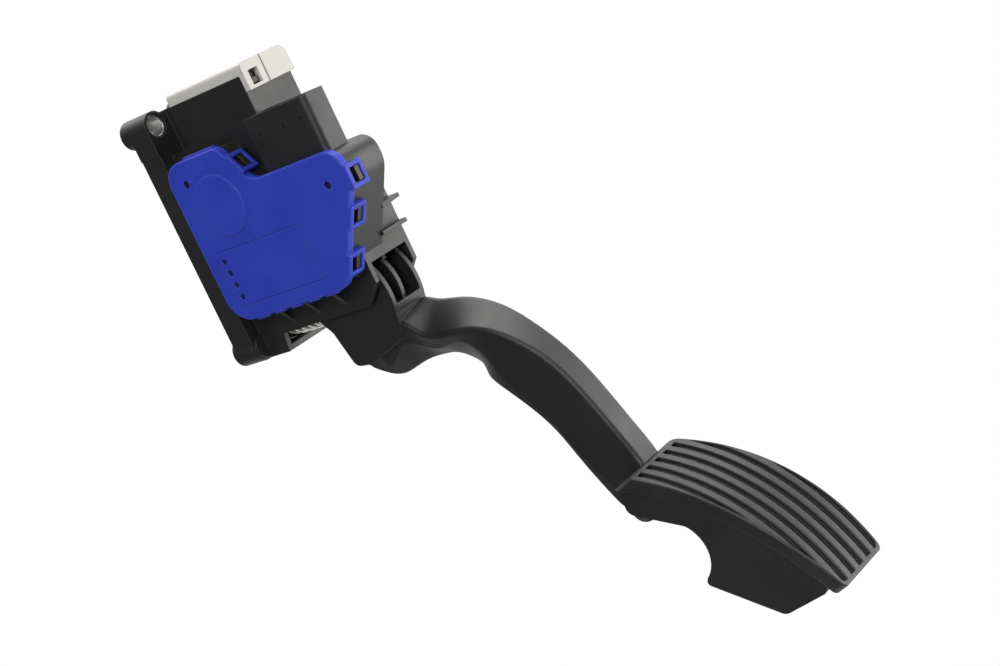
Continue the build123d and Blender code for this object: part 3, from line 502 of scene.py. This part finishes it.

# %% [markdown]
# Metals
# The sleeves are zinc plated, the pin ground bright, and the spring wire drawn and oiled.
# They could have a recipe of their own, but plating and drawn wire show clouds and fine grain as well, and
# get the same painted highlight on their edges.
# So a metal is the same recipe with Metallic at one: its colour is then the colour of its reflections.
# The magnet is a pressed powder and lies in between.

# %% Metal finishes
# Here too the edge colour is a painted highlight on edges.
METALS = {
    "plated_steel": dict(
        dark=(0.66, 0.68, 0.66), light=(0.76, 0.78, 0.75), edge=(0.92, 0.92, 0.90),
        rough=0.36, specular=0.50, grain=1800, bump=0.06, radius=0.2 * MM, metallic=1.0,
    ),
    "bright_steel": dict(
        dark=(0.62, 0.62, 0.63), light=(0.72, 0.72, 0.72), edge=(0.88, 0.88, 0.88),
        rough=0.18, specular=0.50, grain=2800, bump=0.05, radius=0.3 * MM, metallic=1.0,
    ),
    "spring_steel": dict(
        dark=(0.52, 0.51, 0.49), light=(0.66, 0.65, 0.62), edge=(0.84, 0.83, 0.80),
        rough=0.27, specular=0.50, grain=1500, bump=0.12, radius=0.2 * MM, metallic=1.0,
    ),
    "magnet": dict(
        dark=(0.09, 0.09, 0.10), light=(0.14, 0.14, 0.15), edge=(0.30, 0.30, 0.31),
        rough=0.45, specular=0.50, grain=2400, bump=0.20, metallic=0.8,
    ),
    "contact": dict(
        dark=(0.70, 0.66, 0.54), light=(0.80, 0.76, 0.63), edge=(0.90, 0.88, 0.80),
        rough=0.22, specular=0.50, grain=2800, bump=0.05, radius=0.2 * MM, metallic=1.0,
    ),
}

finishes.update({name: new_finish(name, **look) for name, look in METALS.items()})
for name, solid in nodes.items():
    solid.data.materials.clear()
    solid.data.materials.append(finishes[slot_of[name]])
print(len(finishes), "finishes on", len(nodes), "solids")

# %% [markdown]
# Sleeve lips
# A steel sleeve in a plastic boss has a rolled lip, which shows as a bright ring around its bore.
# The lip could be a bevel on the sleeve, but the sleeves are solids of the frame and stay as they are.
# A ring that is flattened along its axis and let into the end of each sleeve gives the same edge.
# The frame's record says where the bolts go through the sleeves.

# %% Roll the lips
LIP_RADIUS = 4.7 * MM
LIP_ROUND = 0.5 * MM
LIP_FLATNESS = 0.7

mounts = {mount["name"]: mount for mount in frame["record"]["mounts"]}
upper_height = mounts["upper_bolts"]["pos_m"][2]
half_spacing = mounts["upper_bolts"]["dims"]["spacing_x_mm"] / 2 * MM
lower_place = mounts["lower_bolt"]["pos_m"][1:]
sleeve_places = ((-half_spacing, upper_height), (half_spacing, upper_height), lower_place)
sleeve_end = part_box("mounting_sleeves")[1].x
for number, (y, z) in enumerate(sleeve_places, start=1):
    bpy.ops.object.select_all(action="DESELECT")
    bpy.ops.mesh.primitive_torus_add(
        major_radius=LIP_RADIUS, minor_radius=LIP_ROUND, major_segments=64, minor_segments=12,
        location=(sleeve_end, y, z), rotation=(0, pi / 2, 0),
    )
    lip = bpy.context.object
    lip.name = f"sleeve_lip_{number}"
    bpy.ops.object.transform_apply(location=False, rotation=True, scale=False)
    lip.scale.x = LIP_FLATNESS
    bpy.ops.object.transform_apply(location=True, rotation=True, scale=True)
    bpy.ops.object.shade_smooth()
    lip.data.materials.append(finishes[slot_of["mounting_sleeves"]])
    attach(lip, "housing")
    print(lip.name, len(lip.data.polygons), "faces at x", round(sleeve_end / MM, 1))

# %% [markdown]
# Tread
# The tread is bowed along its length and barrel-shaped in plan. Its slanting grooves run out at the sides.
# Its solid has long thin triangles between the grooves, which shade unevenly, and knife edges.
# It could be cut again with booleans, but the edges of the cuts could then hardly be rounded.
# So a fine sheet is laid over the bow: its columns follow the length, its rows the sides of the grooves.
# The sheet is doubled for the underside and the two rims are bridged.

# %% Tread measures, in mm
TREAD_PITCH = radians(-39.9)
TREAD_ALONG = Vector((cos(TREAD_PITCH), 0, sin(TREAD_PITCH)))
TREAD_OUT = Vector((-TREAD_ALONG.z, 0, TREAD_ALONG.x))
TREAD_HALF = 48.0
TREAD_HEEL = Vector((172.0, 0, -146.5))
TREAD_MIDDLE = TREAD_HEEL + TREAD_ALONG * TREAD_HALF
TREAD_WIDTHS = (37.0, 41.6, 32.4)
TREAD_CORNER = 2.5
TREAD_BOW = 10.7
TREAD_THICK = 6.0
TREAD_DRAW = tan(radians(27.0))
BOW_RADIUS = (TREAD_HALF**2 + TREAD_BOW**2) / (2 * TREAD_BOW)
RIM_ROUND = 0.8
RIM_ANGLES = (0, 30, 60, 90)
print("bow radius", round(BOW_RADIUS, 1), "mm")

# %% Groove measures, in mm
GROOVES = 7
GROOVE_PITCH = 6.75
GROOVE_WIDTH = 3.2
GROOVE_DEPTH = 1.75
GROOVE_SLANT = radians(8.2)
SIDE_MARGIN = 1.0
END_MARGIN = 2.2
FULL_DEPTH_WIDTH = 1.0
CLOSED_WIDTH = 0.01
LAND_ROUND = 0.4
LAND_HOLD = 0.4
ROUND_HALFWAY = 0.29
WALL_LEAN = 0.1
groove_end = TREAD_HALF - END_MARGIN
print(GROOVES, "grooves over", round((GROOVES - 1) * GROOVE_PITCH + GROOVE_WIDTH, 1), "mm")

# %% Tread surface
BOW_ROUNDS = 16


def half_width(u, side=0.0, ends=0.0):
    """Half of the tread's width at a place along it, seen square on, with rounded corners."""
    end = TREAD_HALF - ends
    heel, waist, toe = (width / 2 - side for width in TREAD_WIDTHS)
    share = u / end
    wide = waist + (toe - heel) / 2 * share + ((heel + toe) / 2 - waist) * share**2
    into = min(max(abs(u) - end + TREAD_CORNER, 0.0), TREAD_CORNER)
    return wide - TREAD_CORNER + sqrt(TREAD_CORNER**2 - into**2)


def on_bow(u, drop, thick=0.0):
    """Where a place in plan meets the bow: along and out, after the draw of the mould has shifted it."""
    out = 0.0
    for _ in range(BOW_ROUNDS):
        along = u + out * TREAD_DRAW
        out = TREAD_BOW - BOW_RADIUS + sqrt((BOW_RADIUS - thick)**2 - along**2) - drop
    return u + out * TREAD_DRAW, out


def rim_steps(edge):
    """Places over the rounded rim, from the edge inwards."""
    return [edge - RIM_ROUND * (1 - cos(radians(angle))) for angle in RIM_ANGLES]


def rim_drop(gap):
    """How far the rounded rim has fallen at a gap from the outline."""
    short = max(RIM_ROUND - gap, 0.0)
    return RIM_ROUND - sqrt(RIM_ROUND**2 - min(short, RIM_ROUND)**2)


print("tread widths", [round(2 * half_width(u), 1) for u in (-groove_end, 0.0, groove_end)])


# %% Tread rows
def keep_within(value, limit):
    """A value held between minus and plus a limit."""
    return min(max(value, -limit), limit)


def groove_rows(left, right, open_share):
    """Rows of one groove from left to right, each with its depth; closed where it has run out."""
    soft = LAND_ROUND * open_share
    deep = GROOVE_DEPTH * open_share
    hold = LAND_HOLD * open_share
    halfway = ROUND_HALFWAY * soft
    side = [(-soft - hold, 0.0), (-soft, 0.0), (-halfway, halfway), (0.0, soft), (WALL_LEAN * soft, deep)]
    rows = [(left + shift, depth) for shift, depth in side]
    return rows + [(right - shift, depth) for shift, depth in reversed(side)]


def tread_rows(u):
    """All rows of one column: how far across and how deep."""
    along, _ = on_bow(u, 0.0)
    rim = half_width(u)
    flat = rim - RIM_ROUND
    grooved = abs(u) < groove_end
    limit = half_width(u, SIDE_MARGIN, END_MARGIN) if grooved else flat
    reach = GROOVE_WIDTH / 2 / cos(GROOVE_SLANT)
    rows = []
    for i in range(GROOVES):
        centre = (i - (GROOVES - 1) / 2) * GROOVE_PITCH / cos(GROOVE_SLANT) - along * tan(GROOVE_SLANT)
        left = keep_within(centre - reach, limit)
        right = keep_within(centre + reach, limit)
        if right - left < CLOSED_WIDTH:
            left = right = flat if centre > 0 else -flat
        open_share = min((right - left) / FULL_DEPTH_WIDTH, 1.0) if grooved else 0.0
        rows += groove_rows(left, right, open_share)
    rows = [(keep_within(across, flat), depth) for across, depth in rows]
    sides = rim_steps(rim)
    return [(-across, 0.0) for across in sides] + rows + [(across, 0.0) for across in reversed(sides)]


print(len(tread_rows(0.0)), "rows in a column")

# %% Tread sheet
COLUMN_STEP = 1.3
END_HOLD = 1.5
GROOVE_END_STEP = 0.03
GROOVE_END_GAP = 0.5
GRID_SIZE = 2

end_columns = rim_steps(TREAD_HALF)
end_columns += [TREAD_HALF - END_HOLD, groove_end + GROOVE_END_STEP, groove_end - GROOVE_END_STEP]
grooved_length = 2 * (groove_end - GROOVE_END_GAP)
grooved_steps = int(grooved_length / COLUMN_STEP)
columns = [-u for u in end_columns]
columns += [(i / grooved_steps - 0.5) * grooved_length for i in range(grooved_steps + 1)]
columns += reversed(end_columns)
sheet = [tread_rows(u) for u in columns]
last_column = len(columns) - 1
last_row = len(sheet[0]) - 1

bpy.ops.object.select_all(action="DESELECT")
bpy.ops.mesh.primitive_grid_add(x_subdivisions=last_column, y_subdivisions=last_row, size=GRID_SIZE)
tread = bpy.context.object
tread.name = "tread"
sheet_size = len(tread.data.vertices)
bpy.ops.object.mode_set(mode="EDIT")
bpy.ops.mesh.select_all(action="SELECT")
bpy.ops.mesh.duplicate()
bpy.ops.mesh.flip_normals()
bpy.ops.object.mode_set(mode="OBJECT")
print("tread sheet", len(columns), "by", len(sheet[0]), "of", sheet_size)

# %% Lay the sheet on the bow
for vertex in tread.data.vertices:
    i = round((vertex.co.x / GRID_SIZE + 0.5) * last_column)
    j = round((vertex.co.y / GRID_SIZE + 0.5) * last_row)
    u = columns[i]
    across, depth = sheet[i][j]
    gap = min(half_width(u) - abs(across), TREAD_HALF - abs(u))
    if vertex.index < sheet_size:
        along, out = on_bow(u, max(depth, rim_drop(gap)))
    else:
        along, out = on_bow(u, 0.0, TREAD_THICK)
    vertex.co = (TREAD_MIDDLE + TREAD_ALONG * along + Vector((0, across, 0)) + TREAD_OUT * out) * MM
print("tread reaches x", round(max(vertex.co.x for vertex in tread.data.vertices) / MM, 1))

# %% Tread rim
MERGE_GAP = 0.01 * MM
TREAD_SMOOTH = radians(50)

bpy.ops.object.mode_set(mode="EDIT")
bpy.ops.mesh.select_mode(type="EDGE")
bpy.ops.mesh.select_all(action="DESELECT")
bpy.ops.mesh.select_non_manifold()
bpy.ops.mesh.bridge_edge_loops()
bpy.ops.mesh.select_all(action="SELECT")
bpy.ops.mesh.remove_doubles(threshold=MERGE_GAP)
bpy.ops.mesh.dissolve_degenerate(threshold=MERGE_GAP)
bpy.ops.mesh.normals_make_consistent(inside=False)
bpy.ops.object.mode_set(mode="OBJECT")
bpy.ops.object.shade_smooth_by_angle(angle=TREAD_SMOOTH)
tread.data.materials.append(finishes[slot_of["foot_pad"]])
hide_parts("foot_pad")
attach(tread, "pedal")
print("tread", len(tread.data.polygons), "faces")

# %% [markdown]
# Return springs
# Two nested coils stand between a cup on the flange and a cup on the arm, and the arm squeezes them.
# A coil could be a bevelled curve, but its rings could then not be moved one by one.
# The Screw modifier carries the wire's section round an axis and leaves one ring of points per step.
# Real coils have closed end turns, so the rings are drawn together at both ends afterwards.

# %% Wind a wire
WIRE_SIDES = 14
STEPS_PER_TURN = 40
END_TURNS = 0.9
COIL_SMOOTH = radians(40)


def wind(name, wire, turns, radius, length):
    """An open tube wound around the X axis with an even pitch, and its number of steps."""
    steps = int(STEPS_PER_TURN * turns)
    bpy.ops.object.select_all(action="DESELECT")
    bpy.ops.mesh.primitive_circle_add(
        vertices=WIRE_SIDES, radius=wire / 2, location=(0, 0, radius), rotation=(pi / 2, pi / 2, 0)
    )
    piece = bpy.context.object
    piece.name = name
    bpy.ops.object.transform_apply(location=True, rotation=True, scale=True)
    screw = piece.modifiers.new("turns", "SCREW")
    screw.axis = "X"
    screw.angle = 2 * pi * turns
    screw.screw_offset = length
    screw.steps = steps
    screw.render_steps = steps
    screw.use_merge_vertices = False
    bpy.ops.object.modifier_apply(modifier=screw.name)
    return piece, steps


def along_axis(share, turns, wire, length):
    """How far along its axis a coil is: slowly in the closed end turns, fast in between."""
    end_share = END_TURNS / turns
    closed = wire * END_TURNS
    if share < end_share:
        return closed * share / end_share
    if share > 1 - end_share:
        return length - closed * (1 - share) / end_share
    return closed + (length - 2 * closed) * (share - end_share) / (1 - 2 * end_share)


print("a wire has", WIRE_SIDES, "sides and", STEPS_PER_TURN, "steps in a turn")


# %% Make the coils
def coil(name, node, wire, turns):
    """A coil along X that fills the box of a solid."""
    low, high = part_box(node)
    middle = (low + high) / 2
    length = high.x - low.x - wire
    piece, steps = wind(name, wire, turns, (high.y - low.y - wire) / 2, length)
    for i, vertex in enumerate(piece.data.vertices):
        share = (i // WIRE_SIDES) / steps
        vertex.co.x += along_axis(share, turns, wire, length) - share * length
    bpy.ops.object.mode_set(mode="EDIT")
    bpy.ops.mesh.select_all(action="DESELECT")
    bpy.ops.mesh.select_mode(type="EDGE")
    bpy.ops.mesh.select_non_manifold()
    bpy.ops.mesh.fill_holes(sides=WIRE_SIDES)
    bpy.ops.mesh.select_all(action="SELECT")
    bpy.ops.mesh.normals_make_consistent(inside=False)
    bpy.ops.transform.translate(value=(low.x + wire / 2, middle.y, middle.z))
    bpy.ops.object.mode_set(mode="OBJECT")
    bpy.ops.object.shade_smooth_by_angle(angle=COIL_SMOOTH)
    piece.data.materials.append(finishes[slot_of[node]])
    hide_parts(node)
    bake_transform(piece)
    first = min(vertex.co.x for vertex in piece.data.vertices)
    print(name, len(piece.data.polygons), "faces, from x", round(first / MM, 1))


coil("outer_coil", "return_spring_outer", wire=1.8 * MM, turns=6.5)
coil("inner_coil", "return_spring_inner", wire=1.3 * MM, turns=7.5)
